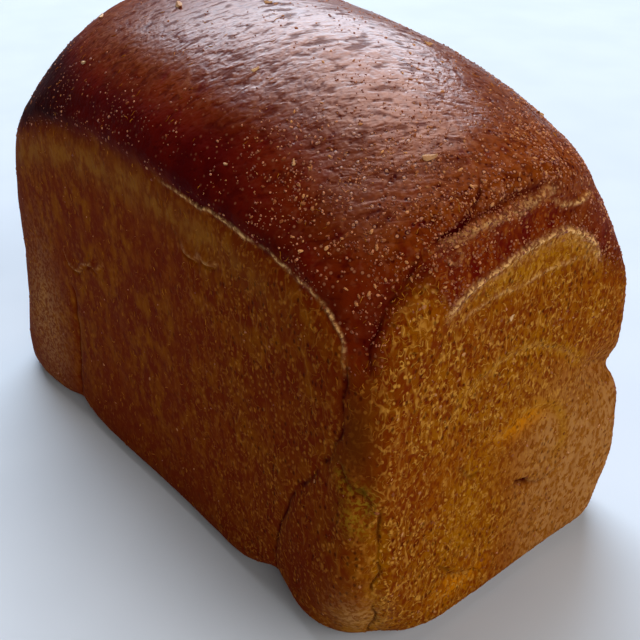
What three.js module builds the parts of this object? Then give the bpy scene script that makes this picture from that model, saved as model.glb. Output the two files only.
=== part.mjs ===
// Wholemeal tin loaf, one solid. Millimetres, +Z up, the long way along X.
// The near end faces +X, the left long side faces -Y, and the loaf rests on its flat base at z = 0.
import * as THREE from 'three';
import { mergeVertices } from 'three/addons/utils/BufferGeometryUtils.js';

// Walls, as distances from the middle line of the tin at half height.
const NEAR_END = 95.5;
const FAR_END = 92.8;
const LEFT_SIDE = 48;
const RIGHT_SIDE = 43.2;

// How much each wall comes in between the base and 100 mm up.
const NEAR_LEAN = 2.5;
const FAR_LEAN = 1;
const LEFT_LEAN = 1.5;
const RIGHT_LEAN = 11;
const LEAN_HEIGHT = 100;
const LEAN_STOPS = 150;

// Upright corners: radius at the foot, half-way up, and where the dome takes over.
const NEAR_LEFT_CORNER = { foot: 29, middle: 9, top: 34, opensAt: 76 };
const NEAR_RIGHT_CORNER = { foot: 16, middle: 5.5, top: 28.5, opensAt: 76 };
const FAR_CORNERS = { foot: 5.5, middle: 29, top: 31.5, opensAt: 40 };
const FOOT_HEIGHT = 16;
const CORNER_TOP = 118;
const END_BLEND = 60;
const SIDE_BLEND = 30;
const BASE_EDGE_RADIUS = 6.5;

// Notches where the base edge is tucked up off the table: place, reach and lift.
const FOOT_NOTCHES = [
  { x: 62, y: -48, reach: 10, lift: 7 },
  { x: -42, y: -49, reach: 9, lift: 4 },
  { x: 92, y: -40, reach: 5, lift: 3 },
  { x: -64, y: 48, reach: 10, lift: 6 },
  { x: 38, y: 49, reach: 9, lift: 4 },
  { x: -92, y: 24, reach: 6, lift: 3 },
];
// A lift too small to see is left out, so that the base stays flat.
const FLAT_BASE_LIFT = 0.05;

// The risen dome: an egg-shaped cap that starts inside the walls and meets them in an arch.
const DOME_START = 58.6;
const DOME_RISE = 78.6;
const DOME_REACH_NEAR = 131;
const DOME_REACH_FAR = 104;
const DOME_REACH_LEFT = 68;
const DOME_REACH_RIGHT = 66;
const DOME_SQUARENESS_LONG = 2.45;
const DOME_SQUARENESS_WIDE = 2;
const DOME_SQUARENESS_HIGH = 1.8;
const DOME_SCALE = 45;
const ARCH_ROUNDING = 4;

// Uneven crust: slanting swells, higher on the dome than on the walls that met the tin.
// Each pair of waves gives its lengths along X, Y and Z and its start.
const LONG_SWELL = [{ x: 17, y: 400, z: 31, start: 0.6 }, { x: -41, y: 13, z: 400, start: 1.9 }];
const SHORT_SWELL = [{ x: 9.5, y: -12, z: 400, start: 2.4 }, { x: 400, y: 19, z: 10.5, start: 0 }];
const LONG_SHARE = 0.65;
const DOME_SWELL = 0.8;
const WALL_DENT = 0.35;
const DOME_SHOWS_FROM = 96;
const DOME_SHOWS_OVER = 14;

// Mesh fineness: small facets along folds and cracks, larger ones on plain crust, few underneath.
const DEEP_MARK_FACET = 2.1;
const FAINT_MARK_FACET = 3;
const HIDDEN_MARK_FACET = 4.6;
const DEEP_MARK = 1.4;
const PLAIN_FACET = 10;
const BASE_FACET = 45;
const BASE_EDGE_FACET = 5;
const FACET_GROWTH = 0.95;
const SPLIT_ROUNDS = 60;
const START_GRID = [10, 5, 7];
const SAME_LENGTH = 1e-9;

// The line inside the loaf that the crust is measured out from.
const CORE_HALF = 45;
const CORE_HEIGHT = 62;
const NEAREST_SHARE = 0.2;
const FARTHEST_SHARE = 3;
const HALVINGS = 44;
const NORMAL_STEP = 0.4;

// Marks: steps along each stretch of a path, how far out a mark is still felt, and its flat middle.
const PATH_STEPS = 6;
const MARK_REACH = 3;
const MARK_MIDDLE = 1.5;
const BASE_FADE = 3;
const FLAT = 0.01;

function clamp(value, low, high) {
  return Math.min(Math.max(value, low), high);
}

function ease(t) {
  const u = clamp(t, 0, 1);
  return u * u * (3 - 2 * u);
}

function blend(from, to, share) {
  return from + (to - from) * share;
}

function hump(t) {
  return Math.exp(-t * t);
}

// Join two walls, given how far a point is outside each, with a round corner between them.
function roundedJoin(outsideA, outsideB, radius) {
  const a = Math.max(outsideA + radius, 0);
  const b = Math.max(outsideB + radius, 0);
  return Math.hypot(a, b) + Math.min(Math.max(outsideA, outsideB) + radius, 0) - radius;
}

function radiusAt(corner, z) {
  const footShare = hump(z / FOOT_HEIGHT);
  const topShare = ease((z - corner.opensAt) / (CORNER_TOP - corner.opensAt));
  return corner.middle + (corner.foot - corner.middle) * footShare + (corner.top - corner.middle) * topShare;
}

function cornerRadius(x, y, z) {
  const rightShare = ease(0.5 + y / SIDE_BLEND);
  const nearShare = ease(0.5 + x / END_BLEND);
  const near = blend(radiusAt(NEAR_LEFT_CORNER, z), radiusAt(NEAR_RIGHT_CORNER, z), rightShare);
  return blend(radiusAt(FAR_CORNERS, z), near, nearShare);
}

function footLift(x, y) {
  return FOOT_NOTCHES.reduce((sum, n) => sum + n.lift * hump(Math.hypot(x - n.x, y - n.y) / n.reach), 0);
}

function outsideTin(x, y, z) {
  const lean = 0.5 - clamp(z, 0, LEAN_STOPS) / LEAN_HEIGHT;
  const end = x > 0 ? NEAR_END + NEAR_LEAN * lean : FAR_END + FAR_LEAN * lean;
  const side = y > 0 ? RIGHT_SIDE + RIGHT_LEAN * lean : LEFT_SIDE + LEFT_LEAN * lean;
  const walls = roundedJoin(Math.abs(x) - end, Math.abs(y) - side, cornerRadius(x, y, z));
  return roundedJoin(walls, Math.max(footLift(x, y) - FLAT_BASE_LIFT, 0) - z, BASE_EDGE_RADIUS);
}

function outsideDome(x, y, z) {
  const long = Math.abs(x) / (x > 0 ? DOME_REACH_NEAR : DOME_REACH_FAR);
  const wide = Math.abs(y) / (y > 0 ? DOME_REACH_RIGHT : DOME_REACH_LEFT);
  const high = Math.max(z - DOME_START, 0) / DOME_RISE;
  const flat = long ** DOME_SQUARENESS_LONG + wide ** DOME_SQUARENESS_WIDE + 1e-9;
  const sum = flat ** (DOME_SQUARENESS_HIGH / 2) + high ** DOME_SQUARENESS_HIGH;
  return (sum ** (1 / DOME_SQUARENESS_HIGH) - 1) * DOME_SCALE;
}

// Below zero inside the plain loaf, above zero outside it.
function outsideLoaf(p) {
  return roundedJoin(outsideTin(p.x, p.y, p.z), outsideDome(p.x, p.y, p.z), ARCH_ROUNDING);
}

// Move a point straight out from, or in towards, the core until it lies on the plain crust.
function ontoCrust(point) {
  const core = new THREE.Vector3(clamp(point.x, -CORE_HALF, CORE_HALF), 0, CORE_HEIGHT);
  const way = point.clone().sub(core);
  let inner = NEAREST_SHARE;
  let outer = FARTHEST_SHARE;
  for (let step = 0; step < HALVINGS; step += 1) {
    const middle = (inner + outer) / 2;
    if (outsideLoaf(core.clone().addScaledVector(way, middle)) > 0) {
      outer = middle;
    } else {
      inner = middle;
    }
  }
  return core.addScaledVector(way, (inner + outer) / 2);
}

function crustNormal(point) {
  const normal = new THREE.Vector3();
  for (const axis of ['x', 'y', 'z']) {
    const ahead = point.clone();
    const behind = point.clone();
    ahead[axis] += NORMAL_STEP;
    behind[axis] -= NORMAL_STEP;
    normal[axis] = outsideLoaf(ahead) - outsideLoaf(behind);
  }
  return normal.normalize();
}

// A long mark on the crust. A height below zero is a groove, above zero a ridge.
function mark(corners, width, height, fadeLength = 8, hidden = false) {
  const curve = new THREE.CatmullRomCurve3(corners.map((c) => new THREE.Vector3(...c)), false, 'catmullrom');
  const points = curve.getPoints((corners.length - 1) * PATH_STEPS).map(ontoCrust);
  const along = [0];
  for (let i = 1; i < points.length; i += 1) {
    along.push(along[i - 1] + points[i].distanceTo(points[i - 1]));
  }
  const seenFacet = Math.abs(height) > DEEP_MARK ? DEEP_MARK_FACET : FAINT_MARK_FACET;
  return { points, along, width, height, fadeLength, facet: hidden ? HIDDEN_MARK_FACET : seenFacet };
}

// A mark on the far end or the right side, with fewer facets.
function farMark(corners, width, height, fadeLength = 8) {
  return mark(corners, width, height, fadeLength, true);
}

// The nearest place on a mark: how far away it is and how far along.
function nearestOnMark(line, p) {
  let gap = Infinity;
  let at = 0;
  const segment = new THREE.Line3();
  const foot = new THREE.Vector3();
  for (let i = 1; i < line.points.length; i += 1) {
    segment.set(line.points[i - 1], line.points[i]);
    const share = segment.closestPointToPointParameter(p, true);
    const distance = segment.at(share, foot).distanceTo(p);
    if (distance < gap) {
      gap = distance;
      at = blend(line.along[i - 1], line.along[i], share);
    }
  }
  return { gap, at };
}

function markHeight(line, p) {
  const { gap, at } = nearestOnMark(line, p);
  if (gap > line.width * MARK_REACH) {
    return 0;
  }
  const length = line.along[line.along.length - 1];
  const fade = ease((Math.min(at, length - at) + 1) / line.fadeLength);
  return line.height * fade * hump(gap / line.width);
}

// A round swelling or dent at one place on the crust.
function swelling(centre, reach, height) {
  return { centre, reach, height };
}

function swellingHeight(lump, p) {
  const x = (p.x - lump.centre[0]) / lump.reach[0];
  const y = (p.y - lump.centre[1]) / lump.reach[1];
  const z = (p.z - lump.centre[2]) / lump.reach[2];
  return lump.height * Math.exp(-(x * x + y * y + z * z));
}

// The same path on the far end, as if the loaf were turned half round, and on the right side.
function turned(path, across = 0, up = 0) {
  return path.map(([x, y, z]) => [-x, -y + across, z + up]);
}

function opposite(path, along = 0, up = 0) {
  return path.map(([x, y, z]) => [x + along, -y, z + up]);
}

// Near end: the crack under the dome's edge, with its short branch up the dome.
const crack = [[90, -28, 107], [91, -21, 109], [92, -14, 111], [92, -6, 112], [93, 2, 111], [92, 10, 111]];
const crackTail = [[92, 10, 111], [93, 15, 108], [91, 23, 106], [87, 31, 102]];
const crackBranch = [[91, -21, 109], [90, -17, 112], [88, -13, 116], [86, -12, 120]];
const crackRim = [[88, -27, 111], [89, -14, 115], [90, 0, 116], [89, 12, 115]];
const shredRidge = [[90, -26, 106], [92, -17, 108], [93, -8, 109], [93, 1, 109], [93, 9, 109],
  [93, 19, 106]];
const shredHollow = [[92, -24, 101], [94, -14, 104], [94, -3, 105], [94, 8, 105], [94, 18, 102]];

// Near end: the deep fold from the crack down the left shoulder.
const shoulderFold = [[90, -28, 107], [90, -31, 102], [88, -36, 98], [88, -40, 93], [89, -43, 87],
  [90, -44, 80]];

// Near end: the crinkled arch where the dough left the tin, and the fold under it.
const endArch = [[94, -27, 91], [94, -20, 97], [94, -12, 99], [94, -2, 101], [94, 9, 101], [94, 18, 97],
  [93, 24, 90]];
const underArch = [[94, -25, 89], [94, -17, 93], [94, -7, 94], [94, 5, 93], [94, 15, 90]];

// Near end: the rolled dough's turns, from the outermost inwards.
const outerTurn = [[95, -23, 62], [95, -18, 69], [95, -8, 72], [95, 4, 72], [95, 15, 66], [95, 26, 58]];
const innerTurn = [[95, -8, 49], [95, 1, 53], [95, 9, 53], [95, 16, 48], [95, 18, 39], [95, 14, 31]];
const rollEye = [[95, 17, 29], [95, 9, 32], [95, 3, 34], [95, -3, 33], [95, -8, 27]];
const rollPit = [[95, -20, 49], [95, -16, 46], [95, -11, 46]];
const footTurn = [[95, -26, 23], [95, -18, 18], [95, -9, 15], [95, 0, 14]];

// Left side: the arch along the top of the flat wall, and the lip of crust above it.
const sideArch = [[-66, -45, 90], [-45, -46, 99], [-19, -47, 103], [11, -47, 104], [40, -47, 102],
  [63, -46, 99], [76, -45, 95], [83, -45, 90], [85, -46, 84]];
const sideLip = sideArch.map(([x, y, z]) => [x * 1.02, y, z + 4]);

// Near left corner: the crease between wall and corner lobe, down to a notch in the base edge.
const cornerCrease = [[85, -46, 86], [87, -46, 80], [86, -47, 71], [85, -48, 63], [80, -48, 55],
  [74, -48, 47], [67, -48, 33], [63, -48, 18], [62, -47, 6]];
const cornerCleft = [[93, -45, 54], [94, -43, 49], [95, -43, 36], [94, -43, 25], [92, -42, 14],
  [88, -40, 4]];
const tornEdge = [[86, -48, 60], [89, -48, 56], [92, -46, 54], [93, -45, 51]];

// Far left corner: a shorter crease above its own notch.
const farCrease = [[-45, -48, 46], [-43, -48, 30], [-42, -48, 14], [-42, -47, 4]];

// Near right corner: the deep sideways fold that shows as a notch in the outline.
const cornerNotch = [[95, 22, 60], [95, 30, 56], [94, 37, 54], [89, 43, 53], [76, 45, 52]];

const grooves = [
  mark(crack, 1.9, -2.3),
  mark(crackTail, 1.6, -1.2),
  mark(crackBranch, 1.6, -1.5),
  mark(shredHollow, 3.4, -1),
  mark(shoulderFold, 2.4, -2.6),
  mark(underArch, 2.2, -0.6),
  mark(outerTurn, 1.8, -0.6),
  mark(innerTurn, 1.6, -0.7),
  mark(rollEye, 1.6, -1.1),
  mark(rollPit, 1.6, -0.9),
  mark(footTurn, 1.8, -0.9),
  mark(sideArch, 1.7, -0.8, 20),
  mark(cornerCrease, 2, -2.1),
  mark(cornerCleft, 1.9, -1.7),
  mark(tornEdge, 2, -1.6),
  mark(farCrease, 2, -1.2),
  mark(cornerNotch, 3, -2.8, 12),
  farMark(turned(crack, 3, -2), 2, -2),
  farMark(turned(shoulderFold, -1, -1), 2.4, -2),
  farMark(turned(outerTurn, -2, 3), 1.8, -0.7),
  farMark(turned(innerTurn, 2, 1), 1.6, -0.8),
  farMark(turned(footTurn, 4, 2), 1.8, -0.8),
  farMark(opposite(sideArch, -3, -2), 1.7, -0.8, 20),
  farMark(opposite(farCrease, 6, 1), 2, -1.4),
  farMark(turned(cornerCrease, -4, -2), 2, -1.8),
];

const ridges = [
  mark(crackRim, 3.2, 0.9),
  mark(shredRidge, 1.7, 0.8),
  mark(endArch, 1.7, 0.9, 12),
  mark(sideLip, 3, 1, 24),
  farMark(turned(crackRim, 3, -2), 3.2, 0.8),
  farMark(turned(endArch, -2, -3), 1.8, 0.9, 12),
  farMark(opposite(sideLip, -3, -2), 3, 0.9, 24),
];

// Broad shapes: lobes at the corners of the foot, the torn place, and the lumps of the dome.
const lumps = [
  swelling([82, -46, 24], [16, 14, 24], 2),
  swelling([90, -47, 47], [5, 6, 7], 0.9),
  swelling([92, -46, 57], [3, 4, 3], -1),
  swelling([94, 38, 30], [14, 16, 16], 1.4),
  swelling([94, 34, 74], [14, 16, 12], 1),
  swelling([-70, -48, 22], [22, 14, 20], 1.6),
  swelling([-88, 40, 24], [16, 16, 22], 1.6),
  swelling([30, -10, 137], [46, 24, 20], 0.9),
  swelling([-50, 16, 130], [30, 22, 24], 0.8),
  swelling([10, 26, 126], [26, 12, 14], -0.8),
];

const marks = [...grooves, ...ridges];

function crossedWaves(pair, p) {
  return pair.reduce((product, w) => product * Math.sin(p.x / w.x + p.y / w.y + p.z / w.z + w.start), 1);
}

function unevenness(p) {
  const domeShare = ease((p.z - DOME_SHOWS_FROM) / DOME_SHOWS_OVER);
  const waves = blend(crossedWaves(SHORT_SWELL, p), crossedWaves(LONG_SWELL, p), LONG_SHARE);
  return blend(WALL_DENT, DOME_SWELL, domeShare) * waves;
}

// How far the real crust stands out from the plain loaf. The flat base stays flat.
function relief(p) {
  const markTotal = marks.reduce((sum, line) => sum + markHeight(line, p), 0);
  const lumpTotal = lumps.reduce((sum, lump) => sum + swellingHeight(lump, p), 0);
  return (markTotal + lumpTotal + unevenness(p)) * ease(p.z / BASE_FADE);
}

function facetSize(p) {
  if (p.z < FLAT) {
    return BASE_FACET;
  }
  const outside = (gap) => Math.max(gap - MARK_MIDDLE, 0);
  const sizes = marks.map((line) => line.facet + FACET_GROWTH * outside(nearestOnMark(line, p).gap));
  const aboveEdge = Math.max(p.z - BASE_EDGE_RADIUS, 0);
  return Math.min(PLAIN_FACET, BASE_EDGE_FACET + FACET_GROWTH * aboveEdge, ...sizes);
}

function edgeKey(a, b) {
  return a < b ? `${a}_${b}` : `${b}_${a}`;
}

// The longest edge of a facet, as its key and its two ends.
function longestEdge(points, facet) {
  let longest = { length: -1 };
  for (let k = 0; k < 3; k += 1) {
    const [a, b] = [facet[k], facet[(k + 1) % 3]];
    const length = points[a].distanceTo(points[b]);
    const key = edgeKey(a, b);
    const tie = Math.abs(length - longest.length) <= SAME_LENGTH;
    if (tie ? key < longest.key : length > longest.length) {
      longest = { key, a, b, length };
    }
  }
  return longest;
}

// Halve long edges until every facet is as small as wanted. Only an edge that is the longest of
// both its facets is halved, so no facet turns thin.
function splitLongEdges(points, facets) {
  const wanted = new Map();
  for (let round = 0; round < SPLIT_ROUNDS; round += 1) {
    const owners = new Map();
    facets.forEach((facet, index) => {
      for (let k = 0; k < 3; k += 1) {
        const key = edgeKey(facet[k], facet[(k + 1) % 3]);
        owners.set(key, [...(owners.get(key) ?? []), index]);
      }
    });
    const longest = facets.map((facet) => longestEdge(points, facet));
    const chosen = new Map();
    longest.forEach((edge, index) => {
      if (!wanted.has(edge.key)) {
        wanted.set(edge.key, facetSize(points[edge.a].clone().lerp(points[edge.b], 0.5)));
      }
      if (edge.length <= wanted.get(edge.key)) {
        return;
      }
      let here = index;
      let next = owners.get(edge.key).find((owner) => owner !== here);
      while (longest[next].key !== longest[here].key) {
        here = next;
        next = owners.get(longest[here].key).find((owner) => owner !== here);
      }
      chosen.set(longest[here].key, longest[here]);
    });
    if (chosen.size === 0) {
      break;
    }
    for (const { key, a, b } of chosen.values()) {
      const added = points.push(ontoCrust(points[a].clone().lerp(points[b], 0.5))) - 1;
      for (const index of owners.get(key)) {
        const facet = facets[index];
        facets.push(facet.map((corner) => (corner === a ? added : corner)));
        facets[index] = facet.map((corner) => (corner === b ? added : corner));
      }
    }
  }
}

function loafGeometry() {
  const box = new THREE.BoxGeometry(NEAR_END * 2, LEFT_SIDE * 2, CORE_HEIGHT * 2, ...START_GRID);
  box.deleteAttribute('normal');
  box.deleteAttribute('uv');
  box.translate(0, 0, CORE_HEIGHT);
  const welded = mergeVertices(box);
  const points = [];
  for (let i = 0; i < welded.attributes.position.count; i += 1) {
    points.push(ontoCrust(new THREE.Vector3().fromBufferAttribute(welded.attributes.position, i)));
  }
  const facets = [];
  for (let i = 0; i < welded.index.count; i += 3) {
    facets.push([welded.index.getX(i), welded.index.getX(i + 1), welded.index.getX(i + 2)]);
  }
  splitLongEdges(points, facets);
  const crust = points.map((p) => p.clone().addScaledVector(crustNormal(p), relief(p)));
  for (const p of crust) {
    if (p.z < FLAT) {
      p.z = 0;
    }
  }
  const geometry = new THREE.BufferGeometry().setFromPoints(crust);
  geometry.setIndex(facets.flat());
  geometry.computeBoundingBox();
  const { min, max } = geometry.boundingBox;
  geometry.translate(-(min.x + max.x) / 2, -(min.y + max.y) / 2, 0);
  geometry.computeVertexNormals();
  return geometry;
}

const crustMaterial = new THREE.MeshStandardMaterial({ color: 0x8a4a1c, roughness: 0.55, metalness: 0 });
const loaf = new THREE.Mesh(loafGeometry(), crustMaterial);
loaf.name = 'loaf';

const object = new THREE.Group();
object.add(loaf);

export default object;
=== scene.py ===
import math

import bmesh
import bpy
import numpy as np
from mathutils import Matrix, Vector


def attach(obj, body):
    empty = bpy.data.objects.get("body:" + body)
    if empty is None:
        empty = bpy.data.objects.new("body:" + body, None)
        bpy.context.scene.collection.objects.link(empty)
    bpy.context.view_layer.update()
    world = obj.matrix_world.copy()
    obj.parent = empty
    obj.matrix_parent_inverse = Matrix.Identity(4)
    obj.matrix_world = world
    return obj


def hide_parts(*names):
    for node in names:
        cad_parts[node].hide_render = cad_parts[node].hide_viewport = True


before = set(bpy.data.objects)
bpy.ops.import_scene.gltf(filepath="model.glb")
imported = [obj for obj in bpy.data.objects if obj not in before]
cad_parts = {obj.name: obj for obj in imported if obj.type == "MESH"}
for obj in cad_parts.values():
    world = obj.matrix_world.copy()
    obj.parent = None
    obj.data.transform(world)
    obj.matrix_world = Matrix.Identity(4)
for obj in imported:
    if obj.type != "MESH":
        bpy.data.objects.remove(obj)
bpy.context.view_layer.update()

MM = 0.001

# The tin's walls, in millimetres from its middle line, and how far each comes in over 100 mm.
NEAR_END, FAR_END, LEFT_SIDE, RIGHT_SIDE = 95.5, 92.8, 48, 43.2
NEAR_LEAN, FAR_LEAN, LEFT_LEAN, RIGHT_LEAN = 2.5, 1, 1.5, 11
LEAN_HEIGHT, LEAN_STOPS = 100, 150

# Upright corners: radius at the foot, half-way up and at the dome, and the height where they open.
NEAR_LEFT_CORNER = (29, 9, 34, 76)
NEAR_RIGHT_CORNER = (16, 5.5, 28.5, 76)
FAR_CORNERS = (5.5, 29, 31.5, 40)
FOOT_HEIGHT, CORNER_TOP = 16, 118
END_BLEND, SIDE_BLEND = 60, 30
BASE_EDGE_RADIUS = 6.5

# Notches in the base edge: place along X and Y, reach and lift.
FOOT_NOTCHES = [(62, -48, 10, 7), (-42, -49, 9, 4), (92, -40, 5, 3), (-64, 48, 10, 6), (38, 49, 9, 4),
                (-92, 24, 6, 3)]
FLAT_BASE_LIFT = 0.05

# The risen dome.
DOME_START, DOME_RISE = 58.6, 78.6
DOME_REACH_NEAR, DOME_REACH_FAR, DOME_REACH_LEFT, DOME_REACH_RIGHT = 131, 104, 68, 66
SQUARENESS_LONG, SQUARENESS_WIDE, SQUARENESS_HIGH = 2.45, 2, 1.8
DOME_SCALE = 45
ARCH_ROUNDING = 4

# Slanting swells in the crust: wave lengths along X, Y and Z, and the start of each wave.
LONG_SWELL = [(17, 400, 31, 0.6), (-41, 13, 400, 1.9)]
SHORT_SWELL = [(9.5, -12, 400, 2.4), (400, 19, 10.5, 0)]
LONG_SHARE = 0.65
DOME_SWELL, WALL_DENT = 0.8, 0.35
DOME_SHOWS_FROM, DOME_SHOWS_OVER = 96, 14

# The core line that the crust is measured out from.
CORE_HALF, CORE_HEIGHT = 45, 62
HALVINGS = 24
NORMAL_STEP = 0.4
BASE_FADE = 3


def ease(t):
    t = np.clip(t, 0, 1)
    return t * t * (3 - 2 * t)


def blend(start, end, share):
    return start + (end - start) * share


def hump(t):
    return np.exp(-t * t)


def rounded_join(a, b, radius):
    outside = np.hypot(np.maximum(a + radius, 0), np.maximum(b + radius, 0))
    return outside + np.minimum(np.maximum(a, b) + radius, 0) - radius


def radius_at(corner, z):
    foot, middle, top, opens_at = corner
    top_share = ease((z - opens_at) / (CORNER_TOP - opens_at))
    return middle + (foot - middle) * hump(z / FOOT_HEIGHT) + (top - middle) * top_share


def corner_radius(x, y, z):
    right = ease(0.5 + y / SIDE_BLEND)
    near = blend(radius_at(NEAR_LEFT_CORNER, z), radius_at(NEAR_RIGHT_CORNER, z), right)
    return blend(radius_at(FAR_CORNERS, z), near, ease(0.5 + x / END_BLEND))


def wall_gaps(x, y, z):
    """How far outside the end wall and the side wall each point is."""
    lean = 0.5 - np.clip(z, 0, LEAN_STOPS) / LEAN_HEIGHT
    end = np.where(x > 0, NEAR_END + NEAR_LEAN * lean, FAR_END + FAR_LEAN * lean)
    side = np.where(y > 0, RIGHT_SIDE + RIGHT_LEAN * lean, LEFT_SIDE + LEFT_LEAN * lean)
    return np.abs(x) - end, np.abs(y) - side


def outside_tin(x, y, z):
    lift = sum(height * hump(np.hypot(x - nx, y - ny) / reach) for nx, ny, reach, height in FOOT_NOTCHES)
    walls = rounded_join(*wall_gaps(x, y, z), corner_radius(x, y, z))
    return rounded_join(walls, np.maximum(lift - FLAT_BASE_LIFT, 0) - z, BASE_EDGE_RADIUS)


def outside_dome(x, y, z):
    along = np.abs(x) / np.where(x > 0, DOME_REACH_NEAR, DOME_REACH_FAR)
    across = np.abs(y) / np.where(y > 0, DOME_REACH_RIGHT, DOME_REACH_LEFT)
    high = np.maximum(z - DOME_START, 0) / DOME_RISE
    flat = along ** SQUARENESS_LONG + across ** SQUARENESS_WIDE + 1e-9
    whole = flat ** (SQUARENESS_HIGH / 2) + high ** SQUARENESS_HIGH
    return (whole ** (1 / SQUARENESS_HIGH) - 1) * DOME_SCALE


def outside_loaf(points):
    x, y, z = points.T
    return rounded_join(outside_tin(x, y, z), outside_dome(x, y, z), ARCH_ROUNDING)


def onto_crust(points):
    """Each point moved straight out from the core until it lies on the plain crust."""
    points = np.asarray(points, float)
    nothing = np.zeros(len(points))
    core = np.stack([np.clip(points[:, 0], -CORE_HALF, CORE_HALF), nothing, nothing + CORE_HEIGHT], 1)
    way = points - core
    inner, outer = nothing + 0.2, nothing + 3
    for _ in range(HALVINGS):
        middle = (inner + outer) / 2
        out = outside_loaf(core + way * middle[:, None]) > 0
        outer = np.where(out, middle, outer)
        inner = np.where(out, inner, middle)
    return core + way * ((inner + outer) / 2)[:, None]


def crust_normals(points):
    """The outward direction of the plain crust at each point."""
    steps = np.eye(3) * NORMAL_STEP
    normal = np.stack([outside_loaf(points + s) - outside_loaf(points - s) for s in steps], 1)
    return normal / np.linalg.norm(normal, axis=1, keepdims=True)


def uneven(points, cell, seed):
    """Smooth lumpy values between -1 and 1, about one lump to a cell."""
    table = np.random.default_rng(seed).uniform(-1, 1, (32, 32, 32))
    grid = points / cell
    corner = np.floor(grid).astype(int)
    share = ease(grid - corner)
    total = np.zeros(len(points))
    for step in np.ndindex(2, 2, 2):
        weight = np.prod(np.where(np.array(step), share, 1 - share), axis=1)
        i, j, k = ((corner + step) & 31).T
        total += weight * table[i, j, k]
    return total


def wander(points, by, cell):
    """The points moved a little, so that a line drawn on the crust strays as a tear does."""
    return points + by * np.stack([uneven(points, cell, seed) for seed in (31, 32, 33)], 1)


def smooth_path(corners, steps=6):
    """A Catmull-Rom curve through the corners, laid on the crust."""
    c = np.array(corners, float)
    c = np.vstack([2 * c[0] - c[1], c, 2 * c[-1] - c[-2]])
    points = []
    for a, b, d, e in zip(c, c[1:], c[2:], c[3:]):
        start, end = (d - a) / 2, (e - b) / 2
        square, cube = 3 * (d - b) - 2 * start - end, 2 * (b - d) + start + end
        for t in np.arange(steps) / steps:
            points.append(b + start * t + square * t**2 + cube * t**3)
    points.append(c[-2])
    return onto_crust(points)


class Mark:
    """A long mark on the crust: a groove where its height is below zero, a ridge where it is above."""

    def __init__(self, corners, width, height=0, fade=8):
        self.points = smooth_path(corners)
        self.width, self.height, self.fade = width, height, fade
        steps = np.linalg.norm(np.diff(self.points, axis=0), axis=1)
        self.along = np.concatenate([[0], np.cumsum(steps)])

    def nearest(self, points, reach):
        """The distance from each point to the mark, and how far along it that is, within reach."""
        gap, at = np.full(len(points), 1e3), np.zeros(len(points))
        low, high = self.points.min(0) - reach, self.points.max(0) + reach
        close = np.flatnonzero(((points > low) & (points < high)).all(1))
        near, best, place = points[close], np.full(len(close), 1e3), np.zeros(len(close))
        for a, b, start, end in zip(self.points, self.points[1:], self.along, self.along[1:]):
            way = b - a
            share = np.clip(((near - a) @ way) / (way @ way + 1e-12), 0, 1)
            distance = np.linalg.norm(near - a - share[:, None] * way, axis=1)
            nearer = distance < best
            best = np.where(nearer, distance, best)
            place = np.where(nearer, blend(start, end, share), place)
        gap[close], at[close] = best, place
        return gap, at

    def strength(self, points, width=None):
        """One on the mark's line, falling to nothing at its sides and its ends."""
        width = width or self.width
        gap, at = self.nearest(points, 3 * width)
        ends = ease((np.minimum(at, self.along[-1] - at) + 1) / self.fade)
        return np.where(gap < 3 * width, ends * hump(gap / width), 0)


def turned(path, across=0, up=0):
    """The same path on the far end, as if the loaf were turned half round."""
    return [(-x, -y + across, z + up) for x, y, z in path]


def opposite(path, along=0, up=0):
    """The same path on the right side."""
    return [(x + along, -y, z + up) for x, y, z in path]


def raised(path, up):
    return [(x, y, z + up) for x, y, z in path]


# Paths in millimetres. The near end's crack, with the torn band below it down to the arch.
CRACK = [(90, -28, 107), (91, -21, 109), (92, -14, 111), (92, -6, 112), (93, 2, 111), (92, 10, 111)]
CRACK_TAIL = [(92, 10, 111), (93, 15, 108), (91, 23, 106), (87, 31, 102)]
CRACK_RIM = [(88, -27, 111), (89, -14, 115), (90, 0, 116), (89, 12, 115)]
CRACK_SLIT = [(89, -28, 107), (90, -24, 108), (91, -20, 110), (90, -16, 113), (88, -13, 115), (86, -11, 119)]
CRACK_STREAK = [(90, -26, 106), (91, -19, 110), (92, -11, 112), (92, -2, 112), (92, 8, 112)]
TORN_RIDGE = [(90, -27, 106), (92, -19, 108), (93, -9, 109), (93, 1, 110), (93, 9, 111)]
SHORT_RIDGE = [(93, 5, 109), (94, 9, 107), (94, 13, 106), (93, 18, 106), (91, 23, 105)]
SHRED_HOLLOW = [(92, -24, 101), (94, -14, 104), (94, -3, 105), (94, 8, 105), (94, 18, 102)]
BLISTER_RING = [(93, -23 + 1.4 * math.cos(a), 104 + 1.4 * math.sin(a)) for a in np.linspace(0, 6, 8)]

# The fold in the near left shoulder, and the arch where the end wall left the tin.
SHOULDER_FOLD = [(90, -28, 107), (90, -31, 102), (88, -36, 98), (88, -40, 93), (89, -43, 87), (90, -44, 80)]
FOLD_SLIT = [(89, -27, 107), (89, -31, 103), (89, -36, 99), (88, -39, 95), (89, -42, 90), (89, -43, 87),
             (90, -44, 81)]
ARCH_LIP = [(94, -27, 91), (94, -24, 94), (94, -17, 97), (94, -8, 99), (94, 1, 100), (94, 11, 100),
            (94, 16, 97), (94, 20, 94), (94, 25, 88)]
BAND_LINE = [(94, -24, 88), (94, -14, 91), (94, -2, 91), (94, 10, 92), (94, 22, 90)]
UNDER_ARCH = [(94, -25, 87), (94, -17, 89), (94, -7, 90), (94, 5, 90), (94, 15, 89)]

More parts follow.
